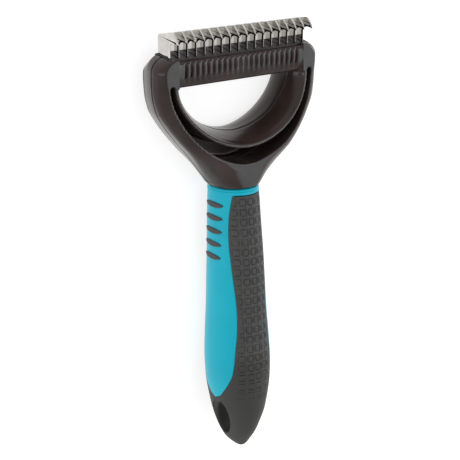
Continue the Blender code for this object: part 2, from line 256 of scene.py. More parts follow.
def ramp_of(mat, value, stops):
    """A colour ramp over a value, from (position, colour) stops."""
    node = add(mat, "ShaderNodeValToRGB", {"Fac": value})
    elements = node.color_ramp.elements
    while len(elements) < len(stops):
        elements.new(0.5)
    for element, (position, colour) in zip(elements, stops):
        element.position = position
        element.color = colour
    return node.outputs["Color"]


def grey(value):
    return (value, value, value, 1.0)


def dress(obj, *materials):
    obj.data.materials.clear()
    for material in materials:
        obj.data.materials.append(material)


# %% [markdown]
# ### Stainless steel for the blades
#
# The blades are blanked from hardened stainless sheet and polished. A polished flat mirrors its
# neighbours and the studio, so the colour stays a light warm grey and the roughness is low. Fine
# polishing lines run along the blade. They are drawn coarser than real ones, at two or three to the
# millimetre, so that they show.

# %% Polished stainless steel
def stainless(name, tones, rough_low, rough_high):
    mat, shader = new_finish(name, Metallic=1.0)
    coords = add(mat, "ShaderNodeTexCoord")
    stretch = add(mat, "ShaderNodeMapping", {"Vector": coords.outputs["Object"]},
                  {"Scale": (1500.0, 120.0, 2600.0)})
    lines = add(mat, "ShaderNodeTexNoise", {"Vector": stretch.outputs["Vector"]},
                {"Scale": 1.0, "Detail": 3.0})
    smears = add(mat, "ShaderNodeTexNoise", {"Vector": coords.outputs["Object"]},
                 {"Scale": 220.0, "Detail": 2.0})
    tone = ramp_of(mat, smears.outputs["Fac"], [(0.3, linear(tones[0])), (0.7, linear(tones[1]))])
    link(mat, tone, shader, "Base Color")
    rough = ramp_of(mat, lines.outputs["Fac"], [(0.25, grey(rough_low)), (0.75, grey(rough_high))])
    link(mat, rough, shader, "Roughness")
    bump = add(mat, "ShaderNodeBump", {"Height": lines.outputs["Fac"]},
               {"Strength": 0.06, "Distance": 0.00002})
    link(mat, bump.outputs["Normal"], shader, "Normal")
    return mat


STEEL = stainless("polished stainless steel", ("#BFBDB8", "#D2D0CC"), 0.05, 0.1)
BLANKED = stainless("blanked stainless edge", ("#5E5C58", "#6A6864"), 0.4, 0.5)


# %% [markdown]
# ### Moulded ABS for the head
#
# The head is injection moulded in a very dark brown-grey ABS. Its rounded flanks left a polished
# tool and are glossy, while the flat front face has a fine spark-eroded grain, which scatters more
# light and reads as a flatter, cooler grey. The two are told apart by where the surface faces.

# %% Dark ABS, glossy on its flanks and grained on its face
def dark_abs(name, flank, face, face_rough, flank_rough):
    mat, shader = new_finish(name, IOR=1.5, Specular_IOR_Level=0.3)
    coords = add(mat, "ShaderNodeTexCoord")
    normal = add(mat, "ShaderNodeSeparateXYZ", {"Vector": coords.outputs["Normal"]})
    spot = add(mat, "ShaderNodeSeparateXYZ", {"Vector": coords.outputs["Object"]})
    flat = add(mat, "ShaderNodeMapRange", {"Value": normal.outputs["Z"]},
               {"From Min": 0.93, "From Max": 0.985}, interpolation_type="SMOOTHSTEP")
    high = add(mat, "ShaderNodeMapRange", {"Value": spot.outputs["Z"]},
               {"From Min": 0.0195, "From Max": 0.0202}, interpolation_type="SMOOTHSTEP")
    on_face = add(mat, "ShaderNodeMath", {0: flat.outputs["Result"], 1: high.outputs["Result"]},
                  operation="MULTIPLY")
    mottle = add(mat, "ShaderNodeTexNoise", {"Vector": coords.outputs["Object"]},
                 {"Scale": 90.0, "Detail": 2.0})
    flank_tone = ramp_of(mat, mottle.outputs["Fac"], [(0.35, linear(flank[0])), (0.65, linear(flank[1]))])
    face_tone = ramp_of(mat, mottle.outputs["Fac"], [(0.35, linear(face[0])), (0.65, linear(face[1]))])
    tone = add(mat, "ShaderNodeMix", {0: on_face.outputs["Value"], 6: flank_tone, 7: face_tone},
               data_type="RGBA")
    link(mat, tone.outputs[2], shader, "Base Color")
    rough = add(mat, "ShaderNodeMapRange", {"Value": on_face.outputs["Value"]},
                {"To Min": flank_rough, "To Max": face_rough})
    link(mat, rough.outputs["Result"], shader, "Roughness")
    grain = add(mat, "ShaderNodeTexNoise", {"Vector": coords.outputs["Object"]},
                {"Scale": 2500.0, "Detail": 2.0})
    depth = add(mat, "ShaderNodeMapRange", {"Value": on_face.outputs["Value"]},
                {"To Min": 0.02, "To Max": 0.25})
    bump = add(mat, "ShaderNodeBump", {"Height": grain.outputs["Fac"], "Strength": depth.outputs["Result"]},
               {"Distance": 0.00004})
    link(mat, bump.outputs["Normal"], shader, "Normal")
    return mat


HEAD_ABS = dark_abs("dark moulded ABS", ("#2B221F", "#352A27"), ("#404040", "#4A4A4A"), 0.42, 0.2)
CARRIER_ABS = dark_abs("dark carrier ABS", ("#1C1716", "#262020"), ("#1C1716", "#262020"), 0.4, 0.35)


# %% [markdown]
# ### Teal ABS and charcoal rubber for the handle
#
# The handle's core is a bright teal ABS with a satin surface. The grip and the pads are a soft
# thermoplastic rubber moulded over it: nearly matt, charcoal, with a very fine sand grain from the
# tool. Towards the butt the rubber is drawn a shade darker and more olive.

# %% Satin teal ABS
def teal_abs():
    mat, shader = new_finish("satin teal ABS", IOR=1.5, Specular_IOR_Level=0.25)
    coords = add(mat, "ShaderNodeTexCoord")
    mottle = add(mat, "ShaderNodeTexNoise", {"Vector": coords.outputs["Object"]},
                 {"Scale": 60.0, "Detail": 2.0})
    tone = ramp_of(mat, mottle.outputs["Fac"], [(0.35, linear("#00A2B8")), (0.65, linear("#00A8BE"))])
    link(mat, tone, shader, "Base Color")
    rough = add(mat, "ShaderNodeMapRange", {"Value": mottle.outputs["Fac"]},
                {"To Min": 0.3, "To Max": 0.36})
    link(mat, rough.outputs["Result"], shader, "Roughness")
    grain = add(mat, "ShaderNodeTexNoise", {"Vector": coords.outputs["Object"]},
                {"Scale": 1800.0, "Detail": 2.0})
    bump = add(mat, "ShaderNodeBump", {"Height": grain.outputs["Fac"]},
               {"Strength": 0.05, "Distance": 0.00003})
    link(mat, bump.outputs["Normal"], shader, "Normal")
    return mat


# %% Charcoal thermoplastic rubber
BUTT_TONE = "#2D2E29"
BUTT_TONE_Y = (-0.048, -0.056)


def soft_rubber(name, tones, rough_low, rough_high):
    mat, shader = new_finish(name, IOR=1.5)
    coords = add(mat, "ShaderNodeTexCoord")
    cloud = add(mat, "ShaderNodeTexNoise", {"Vector": coords.outputs["Object"]},
                {"Scale": 140.0, "Detail": 4.0})
    tone = ramp_of(mat, cloud.outputs["Fac"], [(0.3, linear(tones[0])), (0.7, linear(tones[1]))])
    spot = add(mat, "ShaderNodeSeparateXYZ", {"Vector": coords.outputs["Object"]})
    butt = add(mat, "ShaderNodeMapRange", {"Value": spot.outputs["Y"]},
               {"From Min": BUTT_TONE_Y[0], "From Max": BUTT_TONE_Y[1]}, interpolation_type="SMOOTHSTEP")
    # Towards the butt the rubber's colour turns a shade darker and more olive.
    darker_to_butt = add(mat, "ShaderNodeMix", {0: butt.outputs["Result"], 6: tone}, {7: linear(BUTT_TONE)},
               data_type="RGBA")
    link(mat, darker_to_butt.outputs[2], shader, "Base Color")
    rough = add(mat, "ShaderNodeMapRange", {"Value": cloud.outputs["Fac"]},
                {"To Min": rough_low, "To Max": rough_high})
    link(mat, rough.outputs["Result"], shader, "Roughness")
    grain = add(mat, "ShaderNodeTexNoise", {"Vector": coords.outputs["Object"]},
                {"Scale": 2600.0, "Detail": 3.0})
    bump = add(mat, "ShaderNodeBump", {"Height": grain.outputs["Fac"]},
               {"Strength": 0.3, "Distance": 0.00005})
    link(mat, bump.outputs["Normal"], shader, "Normal")
    return mat


TEAL_ABS = teal_abs()
GRIP_RUBBER = soft_rubber("charcoal grip rubber", ("#343434", "#3E3E3D"), 0.55, 0.7)
PAD_RUBBER = soft_rubber("charcoal pad rubber", ("#333232", "#3A3939"), 0.5, 0.62)


# %% [markdown]
# ## The blades
#
# Each blade is a flat plate with a hook: a straight stem, a round throat that draws the hair in, a
# point, and a blunt back. The outline is drawn once as a face and given its thickness by an
# extrude. Both flats are then inset, and along the throat and the stem the rim outside the inset is
# pressed together from both sides, as grinding does, which leaves the thin edge that cuts. One
# master mesh is copied to each place that the frame gives.

# %% One master blade
BLADES = sorted(name for name in frame["nodes"] if name.startswith("blade_") and name[6:].isdigit())
first_low, first_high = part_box(BLADES[0])
BLADE_THICK = (first_high.x - first_low.x) / MM
ROOT_Y = first_low.y / MM - BUTT
TOP_Y = first_high.y / MM - BUTT
BACK_Z = first_low.z / MM
TIP_Z = first_high.z / MM
STEM_Z = 17.0
THROAT_Y = 193.3
APEX = (195.7, 20.2)
TIP_Y = 195.2
TOP_FRONT_Z = 19.5
BACK_TOP_Y = 198.4
BACK_ROUND = 1.2
ROD_Y = 184.6
ROD_Z = (11.2, 14.6)
ROD_HOLE_R = 1.3
print(len(BLADES), "blades,", round(BLADE_THICK, 2), "mm thick")


def blade_outline():
    apex_y, apex_z = APEX
    points = [(ROOT_Y, BACK_Z + 0.3), (ROOT_Y, STEM_Z - 0.3), (THROAT_Y - 5.5, STEM_Z)]
    for i in range(15):
        angle = math.pi / 2 * i / 14
        points.append((THROAT_Y + (apex_y - THROAT_Y) * math.sin(angle),
                       apex_z - (apex_z - STEM_Z) * math.cos(angle)))
    points.append((apex_y - 0.12, apex_z + 1.6))
    points.append((TIP_Y, TIP_Z))
    for i in range(1, 8):
        t = i / 8
        bow = 0.45 * math.sin(math.pi * t)
        points.append((TIP_Y + (TOP_Y - TIP_Y) * t + bow * 0.6,
                       TIP_Z + (TOP_FRONT_Z - TIP_Z) * t + bow * 0.8))
    points.append((TOP_Y, TOP_FRONT_Z))
    for i in range(8):
        angle = math.pi / 2 * i / 7
        points.append((BACK_TOP_Y - BACK_ROUND + BACK_ROUND * math.cos(angle),
                       BACK_Z + BACK_ROUND - BACK_ROUND * math.sin(angle)))
    return points


def on_bite(point):
    """True on the cutting edge: round the throat and down the stem to the head."""
    y, z = point.y / MM - BUTT, point.z / MM
    return THROAT_Y - 6 < y < APEX[0] + 0.3 and z > STEM_Z - 0.4


# %% Grind the bite, bore the rod holes and tell the faces apart
GRIND_WIDTH = 0.8
EDGE_LEFT = 0.12


def master_blade():
    half = BLADE_THICK / 2
    blade = extruded("master_blade", blade_outline(), -half, half)
    bm = bmesh.new()
    bm.from_mesh(blade.data)
    outer = list(bm.verts)
    flats = [face for face in bm.faces if abs(face.normal.x) > 0.9]
    bmesh.ops.inset_individual(bm, faces=flats, thickness=GRIND_WIDTH * MM, use_even_offset=True)
    for vert in outer:
        if on_bite(vert.co):
            vert.co.x = math.copysign(EDGE_LEFT * MM, vert.co.x)
    bm.to_mesh(blade.data)
    bm.free()
    for z in ROD_Z:
        ring = [(ROD_Y + ROD_HOLE_R * math.cos(math.tau * i / 24),
                 z + ROD_HOLE_R * math.sin(math.tau * i / 24)) for i in range(24)]
        hole = extruded("rod_hole", ring, -1, 1)
        cut(blade, hole)
        settle(blade)
        discard(hole)
    return blade


def mark_blanked(mesh):
    """The back and the top of a blade keep the duller edge that the press left."""
    for face in mesh.polygons:
        y, z = face.center.y / MM - BUTT, face.center.z / MM
        blanked = abs(face.normal.x) < 0.5 and (z < BACK_Z + 1 or (y > BACK_TOP_Y - 2 and z < TOP_FRONT_Z))
        face.material_index = 1 if blanked else 0


master = master_blade()
dress(master, STEEL, BLANKED)
mark_blanked(master.data)
for name in BLADES:
    low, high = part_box(name)
    mesh = master.data.copy()
    mesh.transform(Matrix.Translation(((low.x + high.x) / 2, 0, 0)))
    mesh.shade_smooth()
    mesh.set_sharp_from_angle(angle=math.radians(12))
    piece = bpy.data.objects.new(f"{name}_ground", mesh)
    bpy.context.collection.objects.link(piece)
    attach(piece, "root")
    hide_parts(name)
discard(master)
print("faces on one blade", len(mesh.polygons))

# %% [markdown]
# ## Carrier and rods
#
# The plastic carrier that spaces the blades and the two rods that pin them are already the right
# shape in the CAD model, so they keep their meshes and only get a finish.

# %% Finish the carrier and the rods
for name in frame["nodes"]:
    if name.startswith("blade_rod"):
        dress(frame["nodes"][name], STEEL)
        frame["nodes"][name].data.set_sharp_from_angle(angle=math.radians(40))
dress(frame["nodes"]["blade_carrier"], CARRIER_ABS)

# %% [markdown]
# ## The head
#
# Two moulded shells meet at a seam along the sides. Each starts as the same rolled skin: a flat
# front face with rounded cheeks, sides that taper a little towards the back, round shoulders, and a
# round neck that blends into them. The window, the slots, the blade cavity and the thumb rest are
# then cut, and the shell is remeshed. A small gap between the two shells is the parting line.

# %% Sizes of the head
NECK_Y = 128.4
SHOULDER_Y = 184.2
SHOULDER_R = 7.2
TOP_HALF = 36.2
PARTING_Z = 13.5
SEAM = 0.3
FACE_Z = (20.5, 25.8)
NECK_FRONT_Z = 25.1
NECK_BACK_Z = 0.5
NECK_BLEND_Y = (NECK_Y, 146.0)
LEAN_Y = (145.0, 178.0)
TOP_FALL_Y = (176.0, SHOULDER_Y + SHOULDER_R)
TOP_FLAT = 0.9216
CHEEK = 6.0
CHEEK_START = math.radians(22)
SIDE_TAPER = 3.4
BACK_EDGE = 3.0
TOP_SLOPE = 0.145
CROWN_Z = 8.7
CROWN_DROP = 4.6
WIDTHS = [(128.4, 11.57, 1.2), (130.5, 13.91, 1.84), (132.0, 15.16, 2.3), (135.5, 18.3, 4.7),
          (140.5, 22.7, 11.6), (146.4, 27.67, 19.2), (152.5, 32.99, 24.6), (158.5, 37.48, 29.5),
          (165.6, 41.55, 35.0), (172.6, 43.1, 38.0), (180.0, 43.5, 39.8), (184.2, 43.4, 40.0)]


def face_z(y):
    lean = FACE_Z[1] + (FACE_Z[0] - FACE_Z[1]) * smoothstep(*LEAN_Y, y)
    return lean + (NECK_FRONT_Z - FACE_Z[1]) * (1 - smoothstep(NECK_Y, LEAN_Y[0], y))


def head_half_width(y):
    if y <= SHOULDER_Y:
        return through(WIDTHS, 1, y)
    rise = min(1.0, (y - SHOULDER_Y) / SHOULDER_R)
    return TOP_HALF + SHOULDER_R * math.sqrt(1 - rise * rise)


# %% The skin of the head, by shares round it and along it
FACE_SHARE, CHEEK_SHARE, SIDE_SHARE, EDGE_SHARE = 0.3, 0.5, 0.66, 0.76
RISE_SHARE, TURN_SHARE, CAP_SHARE = 0.72, 0.22, 0.06


def section(share, width, flat, front, back):
    """Half of one section, from the middle of the front (share 0) to the middle of the back (1)."""
    if share <= FACE_SHARE:
        t = share / FACE_SHARE
        return flat * t, front, math.asin(min(1.0, flat / width)) * t
    first = math.asin(min(1.0, flat / width))
    if share <= CHEEK_SHARE:
        t = (share - FACE_SHARE) / (CHEEK_SHARE - FACE_SHARE)
        angle = CHEEK_START + (math.pi / 2 - CHEEK_START) * t
        rise = (math.sin(angle) - math.sin(CHEEK_START)) / (1 - math.sin(CHEEK_START))
        drop = (math.cos(CHEEK_START) - math.cos(angle)) / math.cos(CHEEK_START)
        return flat + (width - flat) * rise, front - CHEEK * drop, first + (math.pi / 2 - first) * t
    side_top = front - CHEEK
    if share <= SIDE_SHARE:
        t = (share - CHEEK_SHARE) / (SIDE_SHARE - CHEEK_SHARE)
        return (width - SIDE_TAPER * t ** 1.4, side_top + (back + BACK_EDGE - side_top) * t,
                math.radians(90 + 40 * t))
    if share <= EDGE_SHARE:
        t = (share - SIDE_SHARE) / (EDGE_SHARE - SIDE_SHARE)
        angle = math.pi / 2 * t
        return (width - SIDE_TAPER - BACK_EDGE * (1 - math.cos(angle)),
                back + BACK_EDGE * (1 - math.sin(angle)), math.radians(130 + 30 * t))
    t = (share - EDGE_SHARE) / (1 - EDGE_SHARE)
    return (width - SIDE_TAPER - BACK_EDGE) * (1 - t), back, math.radians(160 + 20 * t)


def head_point(share, y, squeeze=1.0):
    side = 1.0 if share <= 0.5 else -1.0
    half_share = 2 * share if share <= 0.5 else 2 - 2 * share
    width = head_half_width(y)
    flat = min(through(WIDTHS, 2, y), width * TOP_FLAT if y > SHOULDER_Y else width)
    front = face_z(y)
    blend = smoothstep(*NECK_BLEND_Y, y)
    back = NECK_BACK_Z * (1 - blend)
    x, z, angle = section(half_share, width, flat, front, back)
    middle, depth = (front + back) / 2, (front - back) / 2
    x = width * math.sin(angle) * (1 - blend) + x * blend
    z = (middle + depth * math.cos(angle)) * (1 - blend) + z * blend
    z = middle + (z - middle) * squeeze
    fall = TOP_SLOPE * max(z, CROWN_Z) + CROWN_DROP * (max(0.0, CROWN_Z - z) / CROWN_Z) ** 1.2
    return side * x * squeeze, y - smoothstep(*TOP_FALL_Y, y) * fall, z


def head_where(around, along):
    """The skin rises to the shoulder, turns over it, and closes across the crowned top."""
    if along < RISE_SHARE:
        return head_point(around, NECK_Y + (SHOULDER_Y - NECK_Y) * along / RISE_SHARE)
    if along < 1 - CAP_SHARE:
        turn = math.pi / 2 * (along - RISE_SHARE) / TURN_SHARE
        return head_point(around, SHOULDER_Y + SHOULDER_R * math.sin(turn))
    return head_point(around, SHOULDER_Y + SHOULDER_R, (1 - along) / CAP_SHARE)


# %% The window, the slots and the crescent pocket
WINDOW_TOP_Y = 176.2
WINDOW_HALF = (34.5, 27.7)
WINDOW_POWER = 1.85
WAIST_IN = 4.8
WAIST_Z = 8.5
LOOP_WALL = 1.4
SLOT_HALF = (38.3, 36.4)
SLOT_POWER = 1.78
POCKET_FLOOR_Z = 7.0
POCKET_TOOL_HIGH = 33
WINDOW_ARC_SHARE = 0.75
SLOT_ARC_SHARE, SLOT_END_SHARE = 0.46, 0.04


def d_point(half, power, share):
    """A point of the D under the bar: share 0 is its right end and 1 its left end."""
    c, s = math.cos(math.pi * share), math.sin(math.pi * share)
    return (half[0] * math.copysign(abs(c) ** (2 / power), c), WINDOW_TOP_Y - half[1] * abs(s) ** (2 / power))


def tunnel_in(share):
    """How far the tunnel has narrowed at a share of its length, and the height there."""
    rows = [(0.0, -2.4, 1.6), (0.2, 0.0, 1.0), (0.3, 1.5, 0.82), (0.45, 3.3, 0.55), (0.6, 4.4, 0.28),
            (0.72, WAIST_IN, 0.0)]
    if share <= 0.72:
        return through(rows, 1, share), through(rows, 2, share)
    t = (share - 0.72) / 0.28
    return WAIST_IN - 6.0 * t * t, -1.6 * t


def window_where(around, along):
    inward, rise = tunnel_in(along)
    half = (WINDOW_HALF[0] - inward, WINDOW_HALF[1] - inward)
    if around <= WINDOW_ARC_SHARE:
        x, y = d_point(half, WINDOW_POWER, around / WINDOW_ARC_SHARE)
    else:
        across = (around - WINDOW_ARC_SHARE) / (1 - WINDOW_ARC_SHARE)
        x, y = half[0] * (2 * across - 1), WINDOW_TOP_Y
    z = WAIST_Z + ((face_z(y) - WAIST_Z) * rise if rise >= 0 else WAIST_Z * rise)
    return x, y, z


def slot_where(around, along):
    """The crescent between the loop and the yoke, from the pocket floor to above the face."""
    inner_half = (WINDOW_HALF[0] + LOOP_WALL, WINDOW_HALF[1] + LOOP_WALL)
    radius = (SLOT_HALF[0] - inner_half[0]) / 2
    middle = (SLOT_HALF[0] + inner_half[0]) / 2
    if around < SLOT_ARC_SHARE:
        x, y = d_point(SLOT_HALF, SLOT_POWER, around / SLOT_ARC_SHARE)
    elif around < 0.5:
        turn = math.pi * (1 - (around - SLOT_ARC_SHARE) / SLOT_END_SHARE)
        x, y = -middle + radius * math.cos(turn), WINDOW_TOP_Y + radius * math.sin(turn)
    elif around < 0.5 + SLOT_ARC_SHARE:
        x, y = d_point(inner_half, WINDOW_POWER, 1 - (around - 0.5) / SLOT_ARC_SHARE)
    else:
        turn = math.pi * (1 - (around - 0.5 - SLOT_ARC_SHARE) / SLOT_END_SHARE)
        x, y = middle + radius * math.cos(turn), WINDOW_TOP_Y + radius * math.sin(turn)
    return x, y, POCKET_FLOOR_Z + POCKET_TOOL_HIGH * along


# %% [markdown]
# ### The thumb rest
#
# Below the blades the bar is hollowed for a thumb: its front falls back between the two side strips
# in one soft convex curve, with grooves across the upper half. Each groove is cut by a stretched
# sphere, so that it is deep at the top edge and runs out to nothing lower down.

# %% The thumb rest and its grooves
REST_HALF_X = 33.6
REST_TOP = (187.4, 21.4)
REST_BOTTOM_Z = 18.3
GROOVES = 22
RIB_PITCH = 2.85
GROOVE_HALF = (0.76, 8.6, 2.3)


def rest_outline():
    top_y, top_z = REST_TOP
    low_y = WINDOW_TOP_Y - 2
    points = [(low_y, 40.0), (low_y, REST_BOTTOM_Z)]
    for i in range(13):
        t = i / 12
        bulge = 1.0 * math.sin(math.pi * t) ** 0.8
        y = WINDOW_TOP_Y + (top_y - 1.6 - WINDOW_TOP_Y) * t
        points.append((y, REST_BOTTOM_Z + (top_z - 1.2 - REST_BOTTOM_Z) * t + bulge * 0.9))
    for i in range(1, 7):
        angle = math.pi / 2 * i / 6
        points.append((top_y - 1.6 + 1.9 * math.sin(angle), top_z - 1.2 - 1.9 * (1 - math.cos(angle))))
    points += [(top_y + 6.0, top_z - 3.2), (top_y + 6.0, 40.0)]
    return points


def groove_row():
    bm = bmesh.new()
    for index in range(GROOVES):
        x = (index - (GROOVES - 1) / 2) * RIB_PITCH
        size = Matrix.Diagonal((*[h * MM for h in GROOVE_HALF], 1.0))
        lean = Matrix.Rotation(math.radians(11), 4, "X")
        at = Matrix.Translation(place(x, REST_TOP[0] - 2.0, REST_TOP[1] + 0.15))
        bmesh.ops.create_uvsphere(bm, u_segments=16, v_segments=12, radius=1.0, matrix=at @ lean @ size)
    return to_object("groove_row", bm)


# %% Cut the shells
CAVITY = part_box("blade_carrier")
TANG_HALF_X = 5.0
TANG_Y = (108.0, NECK_Y + 4)
TANG_Z = (8.0, 19.0)
HEAD_VOXEL = 0.41
HEAD_EASE = 3


def head_shells():
    window = rolled("window_tool", 160, 48, window_where)
    slots = rolled("slot_tool", 300, 1, slot_where)
    low, high = [corner / MM for corner in CAVITY]
    cavity = block("cavity_tool", (low.x - SEAM, high.x + SEAM), (low.y - BUTT - SEAM, 220),
                   (low.z - SEAM, high.z + SEAM))
    rest = extruded("rest_tool", rest_outline(), -REST_HALF_X, REST_HALF_X)
    grooves = groove_row()
    tang = block("tang", (-TANG_HALF_X, TANG_HALF_X), TANG_Y, TANG_Z)
    keep = {"front": (PARTING_Z + SEAM / 2, 60.0), "rear": (-20.0, PARTING_Z - SEAM / 2)}
    for side, heights in keep.items():
        shell = rolled(f"head_{side}_moulding", 200, 150, head_where)
        half = block("half", (-80, 80), (100, 240), heights)
        cut(shell, tang, "UNION")
        cut(shell, half, "INTERSECT")
        for tool in (window, slots, cavity) + ((rest, grooves) if side == "front" else ()):
            cut(shell, tool)
        moulded(shell, HEAD_VOXEL, HEAD_EASE)
        discard(half)
        dress(shell, HEAD_ABS)
        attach(shell, "root")
        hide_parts(f"head_{side}_shell")
    discard(window, slots, cavity, rest, grooves, tang)


head_shells()

# %% [markdown]
# ## The handle
#
# The handle is an ellipse in section, fullest near its lower third, drawn in under the collar and
# round at the butt. The same rows of sizes shape the teal body, the rubber grip and the seats of the
# pads, so they all lie on one flowing surface.

# %% Rows of the handle: height, half width, half depth, middle
HANDLE = [(0.0, 0.4, 0.3, 18.8), (1.2, 2.3, 3.4, 18.0), (5.0, 5.8, 7.7, 16.5), (12.3, 8.8, 12.1, 16.2),
          (23.0, 12.0, 15.0, 16.6), (37.0, 14.5, 16.1, 16.4), (46.0, 15.0, 16.0, 16.1),
          (60.0, 14.3, 15.5, 15.6), (70.0, 13.5, 15.1, 15.2), (84.0, 12.8, 14.7, 14.7),
          (97.0, 12.3, 14.1, 14.3), (110.0, 11.8, 13.4, 13.6), (124.0, 11.2, 12.6, 13.0),
          (128.1, 10.9, 12.3, 12.8)]
RING_Y = (125.4, 128.1)
INSIDE_CAD = 0.06
GRIP_THICK = 1.9
CORE_BOTTOM_Y = 25.0
PANEL_EDGE = [(28.4, 17.9), (29.6, 20.2), (32.0, 22.3), (36.6, 25.2), (42.0, 27.1), (49.0, 27.6),
              (59.0, 27.6), (69.4, 27.0), (77.0, 26.2), (90.8, 24.2), (101.3, 22.6), (107.5, 21.9),
              (115.0, 21.6), (127.0, 22.3)]


def handle_point(around, y, inset=0.0):
    angle = math.tau * around
    half_x = max(0.05, through(HANDLE, 1, y) - INSIDE_CAD - inset)
    half_z = max(0.05, through(HANDLE, 2, y) - INSIDE_CAD - inset)
    return half_x * math.sin(angle), y, through(HANDLE, 3, y) + half_z * math.cos(angle)


def handle_tube(name, low, high, inset=0.0, around=128, step=1.2):
    along = max(1, round((high - low) / step))
    return rolled(name, around, along, lambda u, v: handle_point(u, low + (high - low) * v, inset))


# %% [markdown]
# ### Side panels
#
# The teal shows through two long windows in the grip, one on each side. Their outline is a leaf:
# straight across at the collar and pointed near the butt. It is cut right across the handle, so the
# body keeps what is inside it and the grip loses it.

# %% The panels' outline as a tool
def panel_tool(name, grow):
    bottom_y, top_y = PANEL_EDGE[0][0], PANEL_EDGE[-1][0]
    rows = [bottom_y + (top_y - bottom_y) * (i / 90) ** 1.6 for i in range(91)]
    front = [(y, through(PANEL_EDGE, 1, y) + grow) for y in rows]
    back = [(y, 2 * through(HANDLE, 3, y) - through(PANEL_EDGE, 1, y) - grow) for y in rows]
    bottom = [(rows[0] - 0.8 - grow, (front[0][1] + back[0][1]) / 2)]
    return extruded(name, bottom + front + back[::-1], -30, 30)


# %% [markdown]
# ### Pads
#
# Five oval rubber pads sit in recesses on each side, near the collar. Each is a sphere squared off
# to a low dome with steep edges, then laid on the handle's surface: its height is measured along
# the surface's own outward direction.

# %% Ten oval pads
PAD_TOP_Y = 120.3
PAD_PITCH = 6.03
PAD_HALF = (1.25, 6.0)
PAD_Z = 13.0
PAD_PROUD = 0.6
PAD_COUNT = 5


def surface_out(side, y, z):
    """The handle's surface at a height and depth, and the direction straight out of it."""
    half_x, half_z = through(HANDLE, 1, y), through(HANDLE, 2, y)
    down = (z - through(HANDLE, 3, y)) / half_z
    x = half_x * math.sqrt(max(0.0, 1 - down * down))
    out = Vector((x / half_x ** 2, 0, down / half_z)).normalized()
    return Vector((side * x, y, z)), Vector((side * out.x, 0, out.z))


def squared(value, power):
    return math.copysign(abs(value) ** power, value)


def oval_pad(name, side, y, grow=0.0, proud=PAD_PROUD, seat=GRIP_THICK):
    bm = bmesh.new()
    bmesh.ops.create_uvsphere(bm, u_segments=40, v_segments=20, radius=1.0)
    for vert in bm.verts:
        p, q, h = vert.co
        rim = max(1e-6, math.hypot(p, q))
        spread = rim ** 0.45 / rim
        height = squared(h, 0.45) * (proud if h > 0 else seat)
        base, out = surface_out(side, y + p * spread * (PAD_HALF[0] + grow),
                                PAD_Z + q * spread * (PAD_HALF[1] + grow))
        vert.co = place(*(base + out * height))
    return to_object(name, bm)


def make_pads():
    tools = {}
    for side_name, side in (("left", -1), ("right", 1)):
        for index in range(PAD_COUNT):
            y = PAD_TOP_Y - PAD_PITCH * index
            node = f"grip_pad_{side_name}_{index + 1}"
            pad = oval_pad(f"{node}_dome", side, y)
            dress(pad, PAD_RUBBER)
            pad.data.shade_smooth()
            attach(pad, "root")
            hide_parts(node)
            tools[node] = oval_pad(f"{node}_tool", side, y, 0.25, 3.0, GRIP_THICK + 0.2)
    return tools


pad_tools = make_pads()
print(len(pad_tools), "pads")


# %% [markdown]
# ### Teal body
#
# A core under the rubber, two panels standing up to the outer surface, and the collar with a small
# bead at its top. The panels are the handle's own skin kept only inside the leaf outline. No remesh
# here: the skin's even quads give the smooth highlight down the side, and its cut edges stay crisp.

# %% The teal body
def ring_bulge(y):
    """How far the collar stands proud: rounded ends, a bead at the top and a fine groove under it."""
    low, high = RING_Y
    ends = min(1.0, max(0.0, (y - low) / 0.35)) ** 0.5 * min(1.0, max(0.0, (high - y) / 0.5)) ** 0.5
    groove = math.exp(-((y - (high - 1.15)) / 0.16) ** 2)
    return -0.45 + 0.62 * ends - 0.22 * groove


def collar_where(around, along):
    y = RING_Y[0] + (RING_Y[1] - RING_Y[0]) * along
    return handle_point(around, y, -ring_bulge(y))


def teal_body():
    body = handle_tube("handle_body_teal", CORE_BOTTOM_Y + SEAM, RING_Y[0] + 0.6, GRIP_THICK + SEAM, 96, 3.0)
    panels = handle_tube("panels", CORE_BOTTOM_Y, RING_Y[0] + 0.6, 0.0, 176, 1.0)
    leaf = panel_tool("leaf", -SEAM / 2)
    cut(panels, leaf, "INTERSECT")
    for tool in pad_tools.values():
        cut(panels, tool)
    settle(panels)
    cut(body, panels, "UNION")
    settle(body)
    collar = rolled("collar", 176, 30, collar_where)
    cut(body, collar, "UNION")
    socket = block("socket", (-TANG_HALF_X - SEAM, TANG_HALF_X + SEAM), (TANG_Y[0] - SEAM, RING_Y[1] + 5),
                   (TANG_Z[0] - SEAM, TANG_Z[1] + SEAM))
    cut(body, socket)
    settle(body)
    discard(panels, leaf, collar, socket)
    dress(body, TEAL_ABS)
    body.data.shade_smooth()
    body.data.set_sharp_from_angle(angle=math.radians(32))
    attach(body, "root")
    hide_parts("handle_body")
    print("teal body", len(body.data.polygons), "faces")


teal_body()
discard(*pad_tools.values())

# %% [markdown]
# ### Rubber grip
#
# The overmould wraps the core and leaves the panels open. Its front and back carry five columns of
# rounded square cells, each outlined by a shallow groove, which fade to short dashes towards the
# butt. The rolled grid is closest across the front and the back, so the cells are real geometry.
# The hole for hanging the tool up goes straight through the butt, with a generously rounded rim.

# %% The pattern of the cells
CELL_X = 3.75
CELL_Y = 4.55
CELL_TOP_Y = 122.2
CELL_ROWS = 21
CELL_HALF = (1.3, 1.5)
CELL_CORNER = 0.6
GROOVE_SOFT = 0.3
GROOVE_DEEP = 0.55


